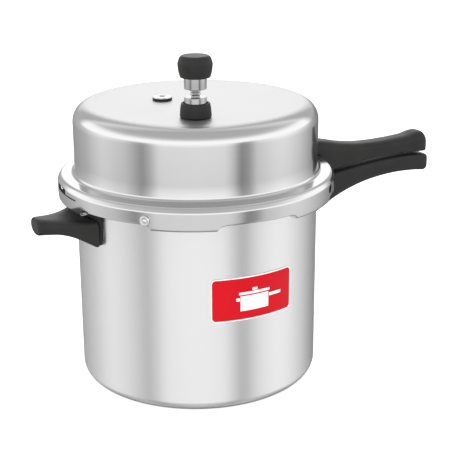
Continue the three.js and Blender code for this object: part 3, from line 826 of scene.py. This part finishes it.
def helper_grip():
    body = bar("helper_grip", [
        (114, 153.6, 189, 42.6, 7),
        (120, 156.4, 187, 38.4, 7),
        (127, 160.2, 185.4, 33.8, 6.5),
        (135, 164.4, 184, 28.8, 5.4),
        (143, 167.6, 183.6, 24.4, 4.4),
        (152, 169.4, 184.2, 19.2, 3.6),
        (161, 169.6, 185.2, 15.6, 3),
        (168, 169.6, 186, 14, 2.6),
        (171.6, 169.8, 185.8, 13.2, 2.4),
        (172.6, 171.2, 184.4, 11.8, 2.3),
    ])
    half, low, high = HELPER_WINDOW
    tools = [
        cylinder("wall", 126.7, 100, 240),
        bent_block("plate", 118, 128.8, -half, half, low, high),
        box("tongue", 120, 158.6, 6.5, 174.9, 178.3),
        drill(SHORT_SCREW, ROOM["shank"], 150, 181),
        drill(SHORT_SCREW, ROOM["head"], 150, 173.9),
        drill(SHORT_SCREW, ROOM["insert"], 176, 180.8),
    ]
    return smooth(place(carve(body, *tools), turn=180))


def guard_plate():
    """A bent sheet cut to a trapezoid, which is wider at its foot, with room for the bracket."""
    inner, outer, low, high = POT["radius"] + GAP, 125.4, 160.4, 190
    section = rounded([(inner, low), (outer, low, 0.9), (outer, high, 0.9), (inner, high)])
    sheet = bent("guard_plate", section, -20, 20)
    rise, foot, head, corner = (high - low) / 2, 39.6, 35.5, 2.5
    corners = [
        (-rise, -foot, corner), (rise, -head, corner), (rise, head, corner), (-rise, foot, corner),
    ]
    outline = point_out(prism("outline", rounded(corners), 90, 150), 0, (low + high) / 2)
    combine(sheet, [outline], "INTERSECT")
    half, window_low, window_high = HELPER_WINDOW
    window = bent_block("window", 118, 130, -half, half, window_low, window_high)
    return smooth_turned(place(carve(sheet, window), turn=180))


def lid_grip():
    body = bar("lid_grip", [
        (116, 192.6, 231.4, 18, 4.4),
        (132, 193.2, 229.8, 17.2, 4),
        (150, 194.2, 226.6, 15.8, 3.6),
        (170, 196.6, 222.1, 14.4, 3.2),
        (190, 199.2, 219.4, 13.5, 3),
        (211, 201.3, 218.6, 13, 3),
        (232, 202.2, 219.1, 13, 3),
        (253, 202.2, 220.6, 13.4, 3),
        (266, 201.6, 223.4, 13.8, 3),
        (273.2, 201.2, 223.6, 13.4, 3),
        (276.6, 201, 220.8, 12.4, 3.2),
        (278, 201.4, 216.6, 11.4, 3.2),
    ], -1)
    room = 0.8
    tools = [
        turned("lid_room", [(0, 180), (LID["skirt"] + room, 180), *reversed(lid_outline(room))]),
        box("tab", 118, 129.6, 13.3, 213.4, 227.8),
        plate_along_x("strap", [
            (118, 180), (205.6, 180), (205.6, 208.5), (147, 208.5), (145, 222.3), (118, 222.3),
        ], 6.6),
        drill(LONG_SCREW, ROOM["shank"], 200, 214),
        drill(LONG_SCREW, ROOM["insert"], 205, 213.2),
    ]
    return smooth(carve(body, *tools))


# ------------------------------------------------------------------ lid


def lug_gap(start, end, low):
    """The room below the skirt between two lugs, with a hollow curve up from each lug's side.

    The curve is a quarter of an ellipse, as many degrees wide as fillet and as high as drop. The
    skirt's edge over the gap is rounded on both sides.
    """
    fillet, drop, steps, flat_steps = 4.6, 5.4, 8, 16
    inner, outer, foot = 126, 146, 186
    edge, inset = 1.6, 1.4
    edge_in, edge_out = LID["skirt"] - LID["wall"] + inset, LID["skirt"] - inset
    turns = [math.pi / 2 * i / steps for i in range(steps + 1)]
    rise = [
        (start + fillet * (1 - math.cos(turn)), low - drop * (1 - math.sin(turn))) for turn in turns
    ]
    fall = [(start + end - angle, top) for angle, top in reversed(rise)]
    first, last = rise[-1][0], fall[0][0]
    level = [(first + i * (last - first) / flat_steps, low) for i in range(1, flat_steps)]
    stops = [*rise, *level, *fall]
    vertices = []
    for angle, top in stops:
        a = math.radians(angle)
        ring = [
            (inner, foot),
            (outer, foot),
            (outer, top + edge),
            *arc(edge_out, top + edge, edge, 0, -80, 4),
            *arc(edge_in, top + edge, edge, -100, -180, 4),
            (inner, top + edge),
        ]
        vertices += [(r * math.cos(a), r * math.sin(a), z) for r, z in ring]
    return swept("gap", vertices, len(ring), len(stops) - 1)


def lid_shell():
    wall, skirt = LID["wall"], LID["skirt"]
    inner_skirt = skirt - wall
    hook = rounded([
        (inner_skirt, LUG["top"] + 5),
        (inner_skirt, LUG["top"], 0.6),
        (LUG["inner"], LUG["top"], 1.2),
        (LUG["inner"], LUG["low"], 1.2),
        (skirt, LUG["low"], 2.8),
        (skirt, LUG["top"] + 5),
    ])
    body = turned("lid", [*lid_outline(-wall)[:-1], *hook, *list(reversed(lid_outline()))[1:]])
    tools = [
        lug_gap(middle + LUG["half"], middle + PITCH - LUG["half"], LUG["skirt_low"])
        for middle in range(0, 360, PITCH)
    ]
    inside, beyond_skirt = 134, 146
    for name, start, end, low, high in SLOTS:
        length = math.radians(end - start) * skirt
        shape = rounded_rectangle(high - low, length, (high - low) * 0.3)
        slot = prism(name, shape, inside, beyond_skirt)
        tools.append(point_out(slot, (start + end) / 2, (low + high) / 2))
    hole = cylinder("hole", SKIRT_HOLE["radius"], inside, beyond_skirt, SMALL)
    tools.append(point_out(hole, SKIRT_HOLE["angle"], SKIRT_HOLE["height"]))
    return smooth_turned(carve(body, *tools))


def lid_gasket():
    """The sealing ring, with a groove round its inside that the steam presses open."""
    inner, foot, outer, low, foot_top = 121.2, 134.3, 137.3, 202.3, 204.2
    middle, groove_half, groove_depth = 207.8, 1.6, 6
    outline = rounded([
        (inner, low, 1),
        (foot, low, 0.8),
        (foot, foot_top),
        (outer, foot_top, 0.8),
        (outer, 208.7),
        (135.2, 212, 0.8),
        (inner, 213.3, 1),
        (inner, middle + groove_half, 0.4),
        (inner + groove_depth, middle, 0.6),
        (inner, middle - groove_half, 0.4),
    ])
    return smooth(turned("gasket", outline))


# ------------------------------------------------------------------ vent, weight and plug


def on_lid(name, corners, axis, steps):
    """A piece turned round an upright axis, from corners whose heights start at the lid's top."""
    raised = [(r, LID["top"] + z) for r, z in rounded(corners, steps)]
    return place(smooth(turned(name, raised, FINE)), *axis)


def at_vent(name, corners, steps=6):
    """A piece of the vent or the weight."""
    return on_lid(name, corners, VENT, steps)


def at_plug(name, corners):
    """A piece of the safety plug."""
    return on_lid(name, corners, PLUG, 4)


def weight_cap():
    return at_vent("weight_cap_round", [
        (7, 37.4), (14.1, 37.4, 1.3), (15.8, 43.6, 20), (16.4, 50.2, 6), (14.6, 56.3, 4.2),
        (12, 57.7, 1.2), (11, 57.4, 0.5), (0, 57.9), (0, 48), (7, 48),
    ], 8)


def vent_base():
    return at_vent("vent_collar", [
        (6.4, 0.3), (15.1, 0.3, 1.5), (14.4, 8.6, 20), (13.5, 13.7, 1.1), (12, 13.7, 0.5),
        (10.9, 11.6, 0.5), (10.9, 3), (6.4, 3),
    ])


def vent_stem():
    return at_vent("vent_pipe", [
        (1.6, -15), (5.8, -15), (5.8, 3.4), (10.5, 3.4), (10.5, 19.2, 0.7), (4, 19.2, 0.4),
        (4, 20.4, 0.3), (3.1, 20.7), (3.1, 32, 0.9), (1.6, 32, 0.2),
    ])


def weight_body():
    return at_vent("weight_turned", [
        (3.6, 26.7, 0.3), (10.6, 26.7, 0.7), (10.6, 37), (6.6, 37), (6.6, 47), (2.7, 47),
        (2.7, 34.6), (3.6, 33.8),
    ])


def weight_ring():
    return at_vent("weight_clip", [
        (3.5, 21), (4.5, 21, 0.4), (5, 21.9, 0.4), (4.2, 23.3, 0.5), (4.9, 24.6, 0.4),
        (4.5, 25.8, 0.4), (3.5, 25.8),
    ])


def weight_needle():
    return at_vent("needle", [
        (0, 32.4), (1.3, 33.4, 0.4), (2.3, 35.2, 0.6), (2.3, 45, 0.3), (0, 45),
    ])


def plug_seal():
    return at_plug("plug_ring", [(5.3, 0.3), (9.8, 0.3, 0.7), (9.8, 2, 0.7), (5.3, 2)])


def plug_body():
    return at_plug("plug_turned", [
        (2.3, -12), (5, -12, 0.4), (5, 2.3), (9.5, 2.3, 0.2), (9.5, 3.6, 0.6), (5.4, 3.6, 0.4),
        (5, 3.2, 0.4), (2.9, 3.2, 0.3), (2.5, 3.6, 0.15), (2.3, 3.6),
    ])


def plug_core():
    return at_plug("plug_alloy", [(0, -11), (2, -11, 0.3), (2, 3.4, 0.3), (0, 3.6)])


def lid_stop_rivet():
    """A rivet through the skirt, with a rolled ring round a low dome."""
    face = LID["skirt"] + GAP
    outline = [
        (0, 134.8),
        (2.2, 134.8),
        (2.2, face),
        *arc(3.9, face + 0.9, 1, -60, 120, 10),
        *arc(2.9, face + 1, 0.35, -10, -110, 4),
        *[(r, face + 0.4 + (z - face) * 0.6) for r, z in arc(0, face, 2.4, 10, 90, 8)],
    ]
    tail = smooth(turned("stop_rivet", outline, SMALL))
    return point_out(tail, STOP_RIVET["angle"], STOP_RIVET["height"])


# ------------------------------------------------------------------ pieces that replace CAD nodes


def fit_rivets(prefix, node, body, turn, holes, outer_head=3.3):
    """Fits a row of rivets, from holes of (sideways, height, inner, outer)."""
    for number, (sideways, height, inner, outer) in enumerate(holes, 1):
        piece = rivet(f"{prefix}_{number}", inner, outer, outer_head)
        point_out(piece, turn, height, sideways)
        fit(piece, body, rivet_aluminium, f"{node}_{number}")


fit(pot_shell(), "pot", satin_aluminium, "pot_shell")
fit(pot_label(), "pot", label_print, "pot_label")
POT_HOLES = [(-9.7, 181, 118.3, 125.3), (9.7, 181, 118.3, 125.3), (0, 159, 118.9, 125.3)]
fit_rivets("pot_rivet", "pot_bracket_rivet", "pot", 0, POT_HOLES)
HELPER_HOLES = [(-13, 174, 118, 125.3), (13, 174, 118, 125.3)]
fit_rivets("helper_rivet", "helper_bracket_rivet", "pot", 180, HELPER_HOLES)
fit(pot_grip(), "pot", phenolic, "pot_handle")
fit(helper_grip(), "pot", phenolic, "helper_handle")
fit(guard_plate(), "pot", phenolic, "helper_guard_plate")

pot_screw = screw("pot_screw", LONG_SCREW, head_low=177.8, head_high=180.8, top=191)
fit(pot_screw, "pot", pressed_steel, "pot_handle_screw")
pot_insert = insert("pot_insert", LONG_SCREW, low=187.9, high=191.2)
fit(pot_insert, "pot", turned_brass, "pot_handle_insert")
helper_screw = screw("helper_screw", SHORT_SCREW, head_low=170.7, head_high=173.6, top=180.6)
place(helper_screw, turn=180)
fit(helper_screw, "pot", pressed_steel, "helper_handle_screw")
helper_insert = insert("helper_insert", SHORT_SCREW, low=178.6, high=180.5)
place(helper_insert, turn=180)
fit(helper_insert, "pot", turned_brass, "helper_handle_insert")

fit(lid_shell(), "lid", polished_aluminium, "lid_shell")
fit(lid_gasket(), "lid", rubber, "lid_gasket")
fit(lid_grip(), "lid", phenolic, "lid_handle")
fit(vent_base(), "lid", phenolic, "vent_base")
fit(vent_stem(), "lid", polished_steel, "vent_stem")
fit(weight_ring(), "weight_clip", polished_steel, "weight_ring")
fit(weight_body(), "weight", polished_steel, "weight_body")
fit(weight_needle(), "weight", polished_steel, "weight_needle")
fit(weight_cap(), "weight", phenolic, "weight_cap")
lid_screw = screw("lid_screw", LONG_SCREW, head_low=202.2, head_high=205.2, top=212.6)
fit(lid_screw, "lid", pressed_steel, "lid_handle_screw")
lid_insert = insert("lid_insert", LONG_SCREW, low=208.8, high=212.8)
fit(lid_insert, "lid", turned_brass, "lid_handle_insert")
fit(lid_stop_rivet(), "lid", rivet_aluminium, "lid_stop_rivet")
LID_HOLES = [(-9.4, 223.9, 119.1, 126.5), (9.4, 223.9, 119.1, 126.5)]
fit_rivets("lid_rivet", "lid_bracket_rivet", "lid", 0, LID_HOLES, outer_head=3)
fit(plug_seal(), "lid", rubber, "safety_plug_seal")
fit(plug_body(), "lid", plug_steel, "safety_plug_body")
fit(plug_core(), "lid", fusible_metal, "safety_plug_core")

# ------------------------------------------------------------------ pieces kept from the CAD

KEPT_EDGE = 0.25  # the width of the bevel on their edges
KEPT = {
    "pot_handle_bracket": pressed_steel,
    "helper_bracket": pressed_steel,
    "lid_handle_bracket": pressed_steel,
    "vent_washer": rubber,
    "vent_nut": turned_brass,
    "safety_plug_nut": turned_brass,
}
for name, material in KEPT.items():
    kept = bpy.data.objects[name]
    kept.data.materials.clear()
    kept.data.materials.append(material)
    bevel = kept.modifiers.new("edges", "BEVEL")
    bevel.width = KEPT_EDGE * MM
    bevel.segments = 2
    bevel.limit_method = "ANGLE"
    bevel.harden_normals = True
